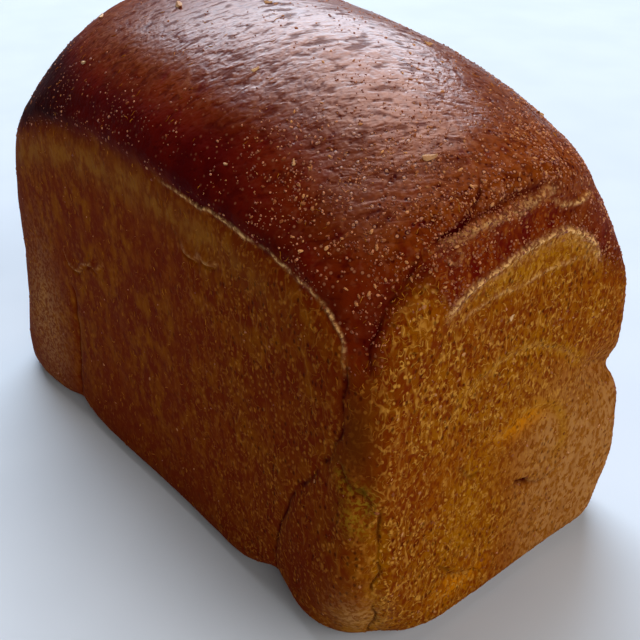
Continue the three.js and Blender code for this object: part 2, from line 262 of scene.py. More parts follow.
# The rolled turns of the dough in the end wall.
SHOULDER_TURN = [(94, -38, 79), (94, -36, 85), (95, -32, 87), (95, -26, 88)]
OUTER_TURN = [(95, -23, 62), (95, -18, 69), (95, -8, 72), (95, 4, 72), (95, 15, 66), (95, 26, 58)]
INNER_TURN = [(95, -8, 49), (95, 1, 53), (95, 9, 53), (95, 16, 48), (95, 18, 39), (95, 14, 31)]
ROLL_EYE = [(95, -5, 31), (95, -1, 33), (95, 7, 32), (95, 11, 30), (95, 20, 31)]
EYE_PIT = [(95, 2, 34), (95, 4, 33.4), (95, 7, 32.5)]
CRESCENT = [(95, -19, 50), (95, -17, 47), (95, -15, 45), (95, -12, 45)]
FOOT_LEDGE = [(95, -24, 24), (95, -21, 20), (95, -17, 17), (95, -13, 15), (95, -9, 13)]

# The left side's arch, the creases at the near left corner, and a sideways fold at the near right one.
SIDE_ARCH = [(-66, -45, 90), (-45, -46, 99), (-19, -47, 103), (11, -47, 104), (40, -47, 102), (63, -46, 99),
             (76, -45, 95), (83, -45, 90), (85, -46, 84)]
SIDE_SWELL = [(x * 1.02, y, z + 4) for x, y, z in SIDE_ARCH]
SIDE_LIP = [(18, -47, 103), (46, -47, 102), (63, -46, 99), (76, -45, 95), (82, -45, 90), (85, -46, 85),
            (86, -46, 80)]
CORNER_CREASE = [(86, -46, 84), (86, -47, 75), (86, -48, 66), (82, -48, 58), (78, -48, 52), (73, -48, 45),
                 (67, -48, 33), (63, -48, 20), (62, -47, 6)]
CORNER_CLEFT = [(94, -43, 51), (94, -43, 44), (95, -44, 34), (94, -44, 25), (92, -42, 16), (88, -40, 4)]
TORN_EDGE = [(86, -48, 60), (89, -48, 56), (92, -46, 54), (93, -45, 51)]
FAR_CREASE = [(-37, -48, 52), (-37, -48, 40), (-38, -48, 27), (-40, -48, 16), (-42, -47, 4)]
FAR_LEDGE = [(-39, -48, 60), (-37, -48, 58), (-31, -48, 57), (-27, -48, 61), (-22, -48, 63), (-19, -48, 62),
             (-14, -48, 66)]
MIDDLE_LEDGE = [(29, -47, 89), (31, -47, 87), (34, -47, 87), (36, -47, 89), (38, -47, 87.5), (41, -47, 88),
                (43, -47, 90)]
CORNER_NOTCH = [(95, 22, 60), (95, 30, 56), (94, 37, 54), (89, 43, 53), (76, 45, 52)]

# Soft marks: width, height, and how long the ends take to fade.
SOFT_MARKS = [
    Mark(CRACK, 1.5, -0.35),
    Mark(CRACK_TAIL, 1.6, -0.7),
    Mark(CRACK_RIM, 3.2, 0.6),
    Mark(SHRED_HOLLOW, 3.4, -0.9),
    Mark(SHOULDER_FOLD, 1.8, -0.6),
    Mark(UNDER_ARCH, 2.2, -0.4),
    Mark(ARCH_LIP, 2.2, 0.35, 12),
    Mark(SHOULDER_TURN, 1.8, 0.3),
    Mark(OUTER_TURN, 1.8, -0.45),
    Mark(raised(OUTER_TURN, 3), 2, 0.3),
    Mark(INNER_TURN, 1.6, -0.5),
    Mark(raised(INNER_TURN, 2.6), 1.8, 0.3),
    Mark(raised(FOOT_LEDGE, 2), 2, 0.6),
    Mark(raised(FOOT_LEDGE, -2), 1.8, -0.5),
    Mark(SIDE_ARCH, 1.9, -0.55, 20),
    Mark(SIDE_SWELL, 3, 0.9, 24),
    Mark(CORNER_CREASE, 2, -0.5),
    Mark(CORNER_CLEFT, 2.2, -0.6),
    Mark(FAR_CREASE, 2, -0.7),
    Mark(raised(FAR_LEDGE, 1.6), 1.3, 0.4, 5),
    Mark(raised(MIDDLE_LEDGE, 1.6), 1.3, 0.4, 5),
    Mark(raised(CORNER_NOTCH, -1), 4.6, -2.8, 12),
    Mark(turned(CRACK, 3, -2), 2, -0.9),
    Mark(turned(CRACK_RIM, 3, -2), 3.2, 0.8),
    Mark(turned(SHOULDER_FOLD, -1, -1), 2.4, -1.3),
    Mark(turned(ARCH_LIP, -2, -3), 2.2, 0.4, 12),
    Mark(turned(OUTER_TURN, -2, 3), 1.8, -0.5),
    Mark(turned(INNER_TURN, 2, 1), 1.6, -0.5),
    Mark(turned(FOOT_LEDGE, 4, 2), 1.8, -0.5),
    Mark(turned(CORNER_CREASE, -4, -2), 2, -0.8),
    Mark(opposite(SIDE_ARCH, -3, -2), 1.7, -0.6, 20),
    Mark(opposite(SIDE_SWELL, -3, -2), 3, 0.9, 24),
    Mark(opposite(FAR_CREASE, 6, 1), 2, -0.8),
]

# Hair-fine tears, which stray a little and lie in the soft marks.
SLITS = {
    "crack": Mark(CRACK_SLIT, 0.38, -0.55, 5),
    "crack streak": Mark(CRACK_STREAK, 0.9, -0.35),
    "fold": Mark(FOLD_SLIT, 0.5, -0.5, 6),
    "corner crease": Mark(CORNER_CREASE, 0.32, -0.45, 4),
    "corner cleft": Mark(CORNER_CLEFT, 0.36, -0.6, 5),
    "torn edge": Mark(TORN_EDGE, 0.9, -1.1, 4),
    "eye": Mark(ROLL_EYE, 0.5, -0.45, 5),
    "eye pit": Mark(EYE_PIT, 0.6, -1.1, 2),
    "crescent": Mark(CRESCENT, 0.5, -0.7, 3),
    "foot ledge": Mark(FOOT_LEDGE, 0.5, -0.55, 4),
    "far crease": Mark(FAR_CREASE, 0.45, -0.7, 6),
    "far ledge": Mark(raised(FAR_LEDGE, -0.3), 0.5, -0.6, 3),
    "middle ledge": Mark(raised(MIDDLE_LEDGE, -0.3), 0.5, -0.6, 3),
    "far end crack": Mark(turned(CRACK_SLIT, 3, -2), 0.7, -1.6, 5),
    "far end streak": Mark(turned(CRACK_STREAK, 3, -2), 0.9, -0.6),
    "far end fold": Mark(turned(FOLD_SLIT, -1, -1), 0.8, -1.5, 6),
    "far end eye": Mark(turned(ROLL_EYE, 4, 6), 0.6, -0.6, 5),
    "far corner crease": Mark(turned(CORNER_CREASE, -4, -2), 0.5, -1.2, 5),
    "right side crease": Mark(opposite(FAR_CREASE, 6, 1), 0.5, -0.8, 6),
}

# Thin pale edges of torn dough.
EDGES = {
    "arch lip": Mark(ARCH_LIP, 0.6, 0.45, 6),
    "band line": Mark(BAND_LINE, 0.6, 0.2, 10),
    "torn ridge": Mark(TORN_RIDGE, 1, 0.5),
    "short ridge": Mark(SHORT_RIDGE, 0.6, 0.3, 5),
    "blister ring": Mark(BLISTER_RING, 0.45, 0.4, 1.5),
    "side lip": Mark(SIDE_LIP, 0.45, 0.35, 14),
    "far ledge": Mark(raised(FAR_LEDGE, 0.8), 0.5, 0.35, 3),
    "middle ledge": Mark(raised(MIDDLE_LEDGE, 0.8), 0.5, 0.35, 3),
    "far end lip": Mark(turned(ARCH_LIP, -2, -3), 0.9, 0.5, 6),
    "far end ridge": Mark(turned(TORN_RIDGE, 3, -2), 1.1, 0.6),
    "right side lip": Mark(opposite(SIDE_ARCH, -3, -2), 0.7, 0.35, 20),
}

# Broad swellings: centre, reach along X, Y and Z, and height.
LUMPS = [
    ((82, -46, 24), (16, 14, 24), 2),
    ((90, -47, 47), (5, 6, 7), 0.9),
    ((92, -46, 57), (3, 4, 3), -1),
    ((94, 38, 30), (14, 16, 16), 1.4),
    ((94, 34, 74), (14, 16, 12), 1),
    ((-70, -48, 22), (22, 14, 20), 1.6),
    ((-88, 40, 24), (16, 16, 22), 1.6),
    ((30, -10, 137), (46, 24, 20), 0.9),
    ((-50, 16, 130), (30, 22, 24), 0.8),
    ((10, 26, 126), (26, 12, 14), -0.8),
    ((92, -46, 50), (1.6, 2.4, 2.6), -1.5),
]
STRAY, STRAY_CELL = 0.8, 4

# Where the risen dome meets each wall: height of the edge at places along the wall.
NEAR_END_EDGE = [(-46, 83), (-43, 85), (-40, 91), (-36, 96), (-32, 100), (-29, 100), (-26, 94), (-24, 94),
                 (-17, 97), (-8, 99), (1, 100), (11, 100), (16, 97), (20, 94), (25, 88), (32, 84), (44, 80)]
SIDE_EDGE = [(-93, 74), (-80, 82), (-66, 91), (-45, 99), (-19, 103), (11, 104), (40, 102), (63, 99), (76, 95),
             (83, 90), (86, 85), (91, 83)]


def crossed_waves(pair, points):
    product = np.ones(len(points))
    for x, y, z, start in pair:
        product = product * np.sin(points @ np.array([1 / x, 1 / y, 1 / z]) + start)
    return product


def bell(points, centre, reach):
    """One at the centre, falling to nothing over the reach along each axis."""
    return np.exp(-(((points - centre) / reach) ** 2).sum(1))


def end_share(points):
    """One on an end wall, nothing on a side wall."""
    end_gap, side_gap = wall_gaps(*points.T)
    return ease((end_gap - side_gap + 5) / 10)


def edge_height(points):
    """The height where the dome begins, at each point's place along its wall."""
    x, y, z = points.T
    near_y, near_z = np.array(NEAR_END_EDGE).T
    side_x, side_z = np.array(SIDE_EDGE).T
    end = np.where(x > 0, np.interp(y, near_y, near_z), np.interp(-y, near_y, near_z) - 3)
    side = np.interp(x, side_x, side_z) - np.where(y > 0, 2, 0)
    return blend(side, end, end_share(points))


def risen_share(points):
    """One on the risen dome, nothing on the walls that lay in the tin."""
    crisp = (EDGES["arch lip"].strength(points, 5) + EDGES["side lip"].strength(points, 5)).clip(0, 1)
    strayed = points[:, 2] + 1.2 * uneven(points, 4, 41) + 0.5 * uneven(points, 1.3, 42)
    return ease((strayed - edge_height(points)) / blend(9, 1.2, crisp) + 0.5)


def speckled_share(points):
    """The dome is more speckled towards its right side and near end."""
    x, y, z = points.T
    return ease((0.7 * x + y + 20) / 60) * blend(0.45, 1, ease((z - 98) / 12))


def below_top(points):
    """Fewer specks show along the very top."""
    return 1 - 0.85 * ease((points[:, 2] - 115) / 12)


def brown_share(points):
    """The dome is browner where it is speckled, and along its top."""
    return np.maximum(speckled_share(points), 0.75 * ease((points[:, 2] - 114) / 12))


def skin_relief(points):
    """Crumbs of torn dough in the band below the crack, and small dents and wrinkles everywhere."""
    torn = EDGES["torn ridge"].strength(points, 4) + 0.5 * EDGES["far end ridge"].strength(points, 5)
    patch = SLITS["torn edge"].strength(points, 4)
    crumbs = 0.4 * uneven(points, 1.5, 3) + 0.25 * uneven(points, 0.8, 4)
    dents = 0.16 * uneven(points, 6, 6) + 0.06 * uneven(points, 3.4, 7)
    return crumbs * (torn + patch).clip(0, 1) + dents


def relief(points):
    """How far the real crust stands out from the plain loaf. The flat base stays flat."""
    strayed = wander(points, STRAY, STRAY_CELL)
    broad = sum(mark.height * mark.strength(points) for mark in SOFT_MARKS)
    broad = broad + sum(height * bell(points, centre, reach) for centre, reach, height in LUMPS)
    tears = sum(mark.height * mark.strength(strayed) for mark in SLITS.values())
    ragged = 1 + 0.8 * uneven(points, 1.2, 11)
    edges = sum(mark.height * mark.strength(strayed) for mark in EDGES.values()) * ragged
    dome_share = ease((points[:, 2] - DOME_SHOWS_FROM) / DOME_SHOWS_OVER)
    waves = blend(crossed_waves(SHORT_SWELL, points), crossed_waves(LONG_SWELL, points), LONG_SHARE)
    swells = blend(WALL_DENT, DOME_SWELL, dome_share) * waves
    fade = ease(points[:, 2] / BASE_FADE)
    return (broad + tears + edges + swells + skin_relief(points)) * fade


# How near a tear the mesh is halved once, twice and three times. Hidden tears count as further off.
TEAR_REACH = (2.4, 1.2, 0.6)
HIDDEN_FACTOR = 2.2

# The mesh isn't halved below the rim's height, and what is lower than the other lies on the base.
BASE_RIM, ON_BASE = 0.3, 0.01


def detail_levels(points):
    """How many times each place of the mesh is halved: most in the tears, least on the plain hidden sides."""
    x, y, z = points.T
    nearest = np.full(len(points), 1e3)
    strayed = wander(points, STRAY, STRAY_CELL)
    for mark in [*SLITS.values(), *EDGES.values()]:
        hidden = HIDDEN_FACTOR if mark.points[0, 0] < -50 or mark.points[0, 1] > 40 else 1
        nearest = np.minimum(nearest, mark.nearest(strayed, 6)[0] * hidden)
    seen = (x > 84) | ((z > 88) & (x > 50)) | ((x > 70) & (y < -30))
    levels = np.where(seen, 1, 0)
    for level, reach in enumerate(TEAR_REACH, 1):
        levels = np.where(nearest < reach, np.maximum(levels, level), levels)
    return levels * (z > BASE_RIM)


def coordinates(bm):
    return np.array([v.co for v in bm.verts])


def set_coordinates(bm, points):
    for vertex, point in zip(bm.verts, points):
        vertex.co = point


# Cells of the box along X, Y and Z, before it is halved anywhere.
GRID = (104, 54, 72)


def loaf_blank():
    """A box with even cells, laid on the plain crust and halved again where the crust is busy."""
    bm = bmesh.new()
    bmesh.ops.create_cube(bm, size=2)
    for axis, cells in enumerate(GRID):
        along = [e for e in bm.edges if abs((e.verts[1].co - e.verts[0].co)[axis]) > 1]
        bmesh.ops.subdivide_edges(bm, edges=along, cuts=cells - 1, use_grid_fill=True)
    box = coordinates(bm) * (NEAR_END, LEFT_SIDE, CORE_HEIGHT) + (0, 0, CORE_HEIGHT)
    set_coordinates(bm, onto_crust(box))
    for level in range(1, len(TEAR_REACH) + 1):
        centres = np.array([f.calc_center_median() for f in bm.faces])
        chosen = detail_levels(centres) >= level
        edges = {e for f, take in zip(bm.faces, chosen) if take for e in f.edges}
        bmesh.ops.subdivide_edges(bm, edges=list(edges), cuts=1, use_grid_fill=True)
        set_coordinates(bm, onto_crust(coordinates(bm)))
    under = [f for f in bm.faces if max(v.co.z for v in f.verts) < ON_BASE]
    bmesh.ops.dissolve_faces(bm, faces=under)
    return bm


def mesh_object(name, bm, material):
    """A smooth-shaded object at the origin."""
    mesh = bpy.data.meshes.new(name)
    bm.to_mesh(mesh)
    bm.free()
    mesh.polygons.foreach_set("use_smooth", [True] * len(mesh.polygons))
    mesh.materials.append(material)
    piece = bpy.data.objects.new(name, mesh)
    bpy.context.collection.objects.link(piece)
    return piece


def paint(piece, name, channels):
    """Keep up to four values at each vertex, for the materials to read."""
    values = np.zeros((len(piece.data.vertices), 4))
    for i, channel in enumerate(channels):
        values[:, i] = np.clip(channel, 0, 1)
    layer = piece.data.attributes.new(name, "FLOAT_COLOR", "POINT")
    layer.data.foreach_set("color", values.ravel())


class Value:
    """A shader socket that can be used in sums."""

    def __init__(self, finish, socket):
        self.finish, self.socket = finish, socket

    def maths(self, operation, other=0.0):
        return self.finish.node("ShaderNodeMath", {"operation": operation}, {0: self, 1: other})

    def __add__(self, other):
        return self.maths("ADD", other)

    def __sub__(self, other):
        return self.maths("SUBTRACT", other)

    def __mul__(self, other):
        return self.maths("MULTIPLY", other)

    def __rsub__(self, other):
        return self * -1 + other

    def __abs__(self):
        return self.maths("ABSOLUTE")

    __radd__ = __add__
    __rmul__ = __mul__

    def between(self, low, high):
        """Nothing at low, one at high, and smooth from one to the other."""
        settings = {"interpolation_type": "SMOOTHSTEP"}
        sockets = {"Value": self, "From Min": low, "From Max": high}
        return self.finish.node("ShaderNodeMapRange", settings, sockets)


class Finish:
    """A material and its nodes."""

    def __init__(self, name):
        self.material = bpy.data.materials.new(name)
        self.material.use_nodes = True
        self.tree = self.material.node_tree
        self.tree.nodes.clear()
        self.place = self.node("ShaderNodeTexCoord", output="Object")

    def node(self, kind, settings=None, sockets=None, output=0):
        node = self.tree.nodes.new(kind)
        for key, value in (settings or {}).items():
            setattr(node, key, value)
        for key, value in (sockets or {}).items():
            if isinstance(value, Value):
                self.tree.links.new(value.socket, node.inputs[key])
            else:
                node.inputs[key].default_value = value
        return Value(self, node.outputs[output]) if node.outputs else None

    def stretched(self, x, y, z, turn=0.0):
        """Object coordinates, divided by a length in millimetres along each axis of a turned frame."""
        sockets = {"Vector": self.place, "Scale": (x * MM, y * MM, z * MM), "Rotation": (0, 0, turn)}
        return self.node("ShaderNodeMapping", {"vector_type": "TEXTURE"}, sockets)

    def noise(self, where, detail=3, roughness=0.55, warp=0.0):
        sockets = {"Vector": where, "Scale": 1.0, "Detail": detail, "Roughness": roughness,
                   "Distortion": warp}
        return self.node("ShaderNodeTexNoise", {}, sockets)

    def dots(self, where, low, high, share):
        """Round dots of a random choice of cells: one inside low, nothing past high."""
        gap = self.node("ShaderNodeTexVoronoi", {}, {"Vector": where, "Scale": 1.0}, "Distance")
        tint = Value(self, gap.socket.node.outputs["Color"])
        kind = self.node("ShaderNodeSeparateColor", {}, {0: tint})
        return gap.between(high, low) * kind.between(1 - share, 1 - share + 0.02)

    def squiggles(self, where, wide, warp=0.8):
        """Short thin curved lines: where one noise passes its middle, broken up by another."""
        line = abs(self.noise(where, 0, 0.5, warp) - 0.5).between(wide, wide * 0.3)
        return line * self.noise(where, 1).between(0.46, 0.58)

    def painted(self, name):
        """The painted values of a mesh, as red, green, blue and alpha."""
        colour = self.node("ShaderNodeAttribute", {"attribute_name": name}, output="Color")
        red = self.node("ShaderNodeSeparateColor", {}, {0: colour})
        parts = (*red.socket.node.outputs, colour.socket.node.outputs["Alpha"])
        return [Value(self, part) for part in parts]

    def mix(self, share, start, end):
        """Two colours mixed. The colour sockets of a Mix node are its seventh and eighth."""
        settings = {"data_type": "RGBA", "clamp_factor": True}
        return self.node("ShaderNodeMix", settings, {0: share, 6: start, 7: end}, 2)

    def bump(self, height, distance, under=None):
        sockets = {"Height": height, "Distance": distance * MM, "Strength": 1.0}
        if under:
            sockets["Normal"] = under
        return self.node("ShaderNodeBump", {}, sockets)

    def shader(self, colour, roughness, specular, normal):
        sockets = {"Base Color": colour, "Roughness": roughness, "Specular IOR Level": specular,
                   "Specular Tint": BROWN_SHEEN, "Normal": normal}
        return self.node("ShaderNodeBsdfPrincipled", {}, sockets)

    def surface(self, shader):
        self.node("ShaderNodeOutputMaterial", {}, {"Surface": shader})
        return self.material


def rgb(red, green, blue):
    """A colour from its 0 to 255 display values."""
    return (*((c / 255) ** 2.2 for c in (red, green, blue)), 1)


# Crust colours.
SIDE_DARK, SIDE_BROWN = rgb(100, 33, 0), rgb(115, 50, 0)
SIDE_GOLD, SIDE_PALE = rgb(126, 66, 2), rgb(164, 100, 36)
END_DARK, END_BROWN = rgb(111, 47, 0), rgb(131, 66, 0)
END_GOLD, END_PALE = rgb(142, 83, 3), rgb(188, 129, 52)
CALM_DARK, CALM_TAN = rgb(134, 78, 24), rgb(162, 110, 60)
GRAIN, PIT, DULL = rgb(176, 108, 46), rgb(60, 18, 0), rgb(88, 42, 10)
DOME_DARK, DOME_RED, DOME_BROWN = rgb(76, 2, 0), rgb(97, 19, 0), rgb(118, 54, 8)
# The first dome colour here is painted shade.
PAINTED_DOME_SHADE, PIP_AND_GLINT, BLOOM = rgb(40, 1, 0), rgb(208, 144, 104), rgb(138, 88, 32)
# The last dark red is painted shade in the tears and creases, and dark mottling on the dome.
TORN_RED, TORN_BROWN, DARK_RED_AND_SHADE = rgb(86, 12, 0), rgb(124, 50, 2), rgb(62, 5, 0)
LIP_PALE, BAND_GOLD = rgb(226, 172, 108), rgb(154, 98, 7)
PATCH_GREEN, PATCH_ORANGE = rgb(146, 112, 30), rgb(188, 110, 4)
BROWN_SHEEN = (1, 0.76, 0.72, 1)
WRINKLE_TURN = math.radians(50)


class CrustFinish(Finish):
    """The loaf's own material: matt walls, a glossy dome, and torn dough between them."""

    def __init__(self):
        super().__init__("wholemeal crust")
        # The last zone is painted shade inside the tears.
        self.risen, self.end, self.torn, self.tear_shade = self.painted("zones")
        # The pale tint includes a painted sheen low on the far part of the left side.
        self.pale, self.green, self.ruddy, self.gold = self.painted("tints")
        self.orange, self.calm, self.bloom, self.dull = self.painted("patches")
        # The dome's shade channel is painted shade, above the side arches and low towards the far end.
        self.brown, self.shine, self.shade, self.grit = self.painted("dome")
        self.broad = self.noise(self.stretched(14, 14, 20), 2)
        self.middle = self.noise(self.stretched(4, 4, 8), 3)
        self.fine = self.noise(self.stretched(1.5, 1.5, 2), 1)
        self.streaky = self.noise(self.stretched(3.4, 3.4, 4.6), 2)
        self.crumb = self.noise(self.stretched(1.1, 1.1, 1.1), 2).between(0.44, 0.58)
        self.make_wall_patterns()
        self.make_dome_patterns()

    def make_wall_patterns(self):
        """Short fibres, dots of bran and dark pits."""
        busy = 0.35 + self.middle.between(0.38, 0.56) * 0.65
        self.fibres = self.squiggles(self.stretched(1.9, 1.9, 2.1), 0.08) * busy
        self.threads = self.squiggles(self.stretched(2, 2, 4.4), 0.1, 0.4) * (1 - busy * 0.6)
        self.small_pits = self.dots(self.stretched(1.5, 1.5, 2.2), 0.12, 0.36, 0.45)
        small_grains = self.dots(self.stretched(1.6, 1.6, 1.8), 0.15, 0.36, 0.6)
        large_grains = self.dots(self.stretched(2.3, 2.3, 2.8), 0.13, 0.36, 0.6)
        large_pits = self.dots(self.stretched(2.2, 2.2, 3), 0.12, 0.36, 0.5)
        near = (self.end + self.grit).between(0, 1)
        self.grains = small_grains * near + large_grains * (1 - near)
        self.pits = self.small_pits * near + large_pits * (1 - near)
        coarse = (1 - self.calm * 0.5) * (1 - self.dull * 0.8) * (0.25 + self.grit * 0.75)
        self.coarse = coarse * (0.75 + self.broad.between(0.4, 0.6) * 0.4)

    def make_dome_patterns(self):
        """Pips with rims of painted shade, dark specks, and short wrinkles."""
        self.specks = self.small_pits * (0.3 + self.grit * 0.7)
        self.pips = self.dots(self.stretched(1.6, 1.6, 1.6), 0.13, 0.28, 0.52) * (0.15 + self.grit * 0.85)
        self.rims = self.dots(self.stretched(1.6, 1.6, 1.6), 0.3, 0.48, 0.52) * self.grit * 0.6
        self.wrinkles = self.noise(self.stretched(5.2, 2.1, 2.1, WRINKLE_TURN), 2, 0.55, 0.3)
        self.creased = self.wrinkles.between(0.47, 0.35)

    def mottled_brown(self):
        """The plain colour of the walls, with its painted tints."""
        dark = self.mix(self.calm, self.mix(self.end, SIDE_DARK, END_DARK), CALM_DARK)
        end_brown = self.mix(self.broad.between(0.4, 0.6), END_BROWN, END_GOLD)
        side_brown = self.mix(self.broad.between(0.42, 0.58), SIDE_BROWN, SIDE_GOLD)
        brown = self.mix(self.end, side_brown, self.mix(self.calm, end_brown, CALM_TAN))
        brown = self.mix(self.middle.between(0.48, 0.62) * (0.85 - self.end * 0.35), brown, dark)
        patchy = self.fine.between(0.38, 0.56) * self.end + self.streaky.between(0.3, 0.7) * (1 - self.end)
        wall = self.mix(patchy, dark, brown)
        wall = self.mix(self.ruddy * 0.7, wall, SIDE_DARK)
        wall = self.mix(self.gold * (0.3 + patchy * 0.6), wall, BAND_GOLD)
        wall = self.mix(self.orange * (0.55 + patchy * 0.45), wall, PATCH_ORANGE)
        wall = self.mix(self.green * (0.1 + self.crumb * 0.9), wall, PATCH_GREEN)
        return self.mix(self.dull, wall, DULL)

    def wall_colour(self):
        """The mottled brown, with the fibres, dots, pits and bloom on it."""
        light = self.mix(self.end, SIDE_PALE, END_PALE)
        strands = (self.fibres + self.threads) * self.coarse * (0.55 + self.end * 0.3)
        wall = self.mix(strands, self.mottled_brown(), light)
        wall = self.mix(self.grains * self.coarse * 0.85, wall, light)
        darkness = 0.25 + self.calm * 0.15 + self.grit * (0.55 - self.end * 0.2)
        wall = self.mix(self.pits * darkness, wall, PIT)
        return self.mix(self.bloom * (0.3 + self.streaky.between(0.4, 0.6) * 0.5), wall, BLOOM)

    def dome_colour(self):
        """Dark red-brown, browner where it is speckled, with painted shade above the side arches and low
        towards the far end.
        """
        dome = self.mix(self.broad.between(0.35, 0.65), DOME_DARK, DOME_RED)
        dome = self.mix(self.brown * self.middle.between(0.2, 0.5), dome, DOME_BROWN)
        # Painted shade above the side arches and low towards the far end.
        dome = self.mix(self.shade, dome, PAINTED_DOME_SHADE)
        dome = self.mix(self.fine.between(0.5, 0.32) * self.brown * 0.4, dome, DARK_RED_AND_SHADE)
        # Fine pale spots, partly painted glints.
        dome = self.mix(self.fine.between(0.52, 0.7) * self.brown * 0.12, dome, PIP_AND_GLINT)
        # Painted shade in the wrinkle creases and round the pips, with dark specks.
        dome = self.mix(self.creased * 0.5 + self.specks + self.rims, dome, DARK_RED_AND_SHADE)
        # Pale pips, partly painted glints.
        return self.mix(self.pips * 0.7, dome, PIP_AND_GLINT)

    def crust_colour(self):
        """Walls and dome, then the torn band, the pale lips and a painted sheen, and the painted shade in the
        tears over them.
        """
        crust = self.mix(self.risen, self.wall_colour(), self.dome_colour())
        band = self.mix(self.middle.between(0.36, 0.6) * (0.4 + self.crumb * 0.6), TORN_RED, TORN_BROWN)
        band = self.mix((self.fibres + self.grains) * 0.38, band, GRAIN)
        crust = self.mix(self.torn, crust, band)
        # Pale torn edges, with a painted sheen low on the far part of the left side.
        crust = self.mix(self.pale * (0.2 + self.crumb * 0.8), crust, LIP_PALE)
        # Painted shade inside the tears.
        return self.mix(self.tear_shade, crust, DARK_RED_AND_SHADE)

    def crust_bumps(self):
        """The coarse grain of the walls, and the wrinkled skin of the dome."""
        grain = self.fibres + self.threads + self.grains - self.pits * 1.2 + self.fine
        grain = grain * (1 - self.risen) * self.coarse
        skin = self.pips * 0.9 + self.middle * 0.8 + self.fine * 0.9 + self.wrinkles * 2.2
        skin = skin - self.specks * 0.9 - self.rims * 0.5
        return self.bump(skin * self.risen, 0.13, self.bump(grain, 0.16))


def crust_finish():
    f = CrustFinish()
    colour, normal = f.crust_colour(), f.crust_bumps()
    matt = f.shader(colour, 0.75, 0.02, normal)
    gloss = f.shader(colour, 0.28 + f.middle * 0.12, 1.0, normal)
    shiny = f.shine * (1 - f.torn * 0.85) * (1 - f.creased * 0.7) * (1 - f.specks * 0.8)
    return f.surface(f.node("ShaderNodeMixShader", {}, {0: shiny, 1: matt, 2: gloss}))


def speck_finish(name, dark, light, roughness, specular):
    """Bran and blisters: each piece of it has its own tone."""
    f = Finish(name)
    tone, *_ = f.painted("tone")
    streak = f.noise(f.stretched(0.3, 0.3, 0.5), 2)
    colour = f.mix(tone * 0.8 + streak * 0.4 - 0.1, dark, light)
    normal = f.bump(streak, 0.06)
    return f.surface(f.shader(colour, roughness, specular, normal))


# Soft spots of paint: strength, centre, and reach along each axis in millimetres.
# The first pale spot, low on the far part of the left side, is a painted sheen.
PALE_AND_SHEEN_SPOTS = [(0.26, (-58, -48, 30), (12, 8, 28)), (0.38, (90, -45, 13), (6, 6, 9))]
GREEN_SPOTS = [(0.8, (91, -46, 48), (3.5, 4, 5))]
RUDDY_SPOTS = [(1, (82, -46, 20), (20, 14, 34)), (0.8, (88, -42, 84), (12, 12, 12)),
               (0.55, (94, -39, 54), (6, 9, 28)), (0.3, (95, -12, 84), (6, 24, 9))]
GOLD_SPOTS = [(1, (94, 6, 95), (12, 22, 6)), (1, (90, -44, 6), (9, 9, 9)), (0.35, (92, -44, 26), (5, 5, 22)),
              (1, (-94, -6, 92), (12, 22, 6)), (0.5, (95, -19, 26), (8, 7, 6)),
              (0.6, (95, -13, 36), (8, 12, 17))]
ORANGE_SPOTS = [(1, (95, -17, 13), (8, 8, 3.5)), (0.8, (95, 2, 52), (8, 8, 3.5))]
BLOOM_SPOTS = [(0.7, (90, -45, 15), (5, 5, 8))]
DULL_SPOTS = [(1, (90, -46, 67), (4.5, 5, 14))]

# Where few specks lie.
BARE_SPOTS = [(0.7, (92, 17, 106), (6, 9, 5))]

# Painted shade inside the tears, and torn edges painted pale: name, width and strength.
TEAR_SHADES = [
    ("crack", 0.6, 0.95), ("crack streak", 1, 0.75), ("fold", 0.9, 0.85), ("corner crease", 0.55, 0.9),
    ("corner cleft", 0.38, 0.65), ("torn edge", 0.9, 0.5), ("eye", 0.5, 0.4), ("eye pit", 0.7, 1),
    ("crescent", 0.6, 0.6), ("foot ledge", 0.6, 0.5), ("far crease", 0.5, 0.85), ("far end crack", 1, 1),
    ("far end streak", 1.6, 0.8), ("far end fold", 1.8, 1), ("far corner crease", 0.7, 0.9),
]
PALE_EDGES = [
    ("arch lip", 0.72, 1), ("band line", 0.6, 0.5), ("short ridge", 0.6, 0.8), ("blister ring", 0.45, 0.3),
    ("torn ridge", 1.1, 0.55), ("far ledge", 0.5, 0.4), ("middle ledge", 0.5, 0.4),
    ("far end ridge", 0.9, 0.5), ("side lip", 0.4, 1), ("far end lip", 1, 1), ("right side lip", 0.8, 0.5),
]


def spots(points, table):
    """The soft spots of a table, added up."""
    return sum(strength * bell(points, centre, reach) for strength, centre, reach in table)


def painted_marks(points, marks, table):
    """The marks that a table names, each as wide and as strong as it says, added up."""
    return sum(strength * marks[name].strength(points, width) for name, width, strength in table)


def torn_share(points, strayed):
    """The band of torn dough between the crack and the arch of each end, and its ridge."""
    x, y, z = points.T
    band = ease((z - edge_height(points)) / 3) * (1 - ease((z - 108) / 6)) * end_share(points)
    band = band * ease((np.abs(x) - 84) / 6) * (y * np.sign(x) > -40)
    band = band * (1 - 0.7 * ease((y - 5) / 8) * (x > 0))
    ridge = EDGES["torn ridge"].strength(strayed, 2.2) + 0.7 * EDGES["far end ridge"].strength(strayed, 2.2)
    return np.maximum(band * 0.8, ridge)


def tear_shade_share(strayed):
    """Painted shade inside the tears, and in the fold in the near left shoulder."""
    tears = painted_marks(strayed, SLITS, TEAR_SHADES)
    return np.maximum(tears, 0.6 * Mark(SHOULDER_FOLD, 2.5).strength(strayed))


def pale_and_sheen_share(points, strayed):
    """Torn edges, faint pale lines below the arch lip and above the outer turn, and pale spots, one of them a
    painted sheen.
    """
    pale = painted_marks(strayed, EDGES, PALE_EDGES) + spots(points, PALE_AND_SHEEN_SPOTS)
    pale = pale + 0.22 * Mark(raised(ARCH_LIP, -1.8), 1.2).strength(strayed)
    return pale + 0.15 * Mark(raised(OUTER_TURN, 1), 0.8).strength(strayed)


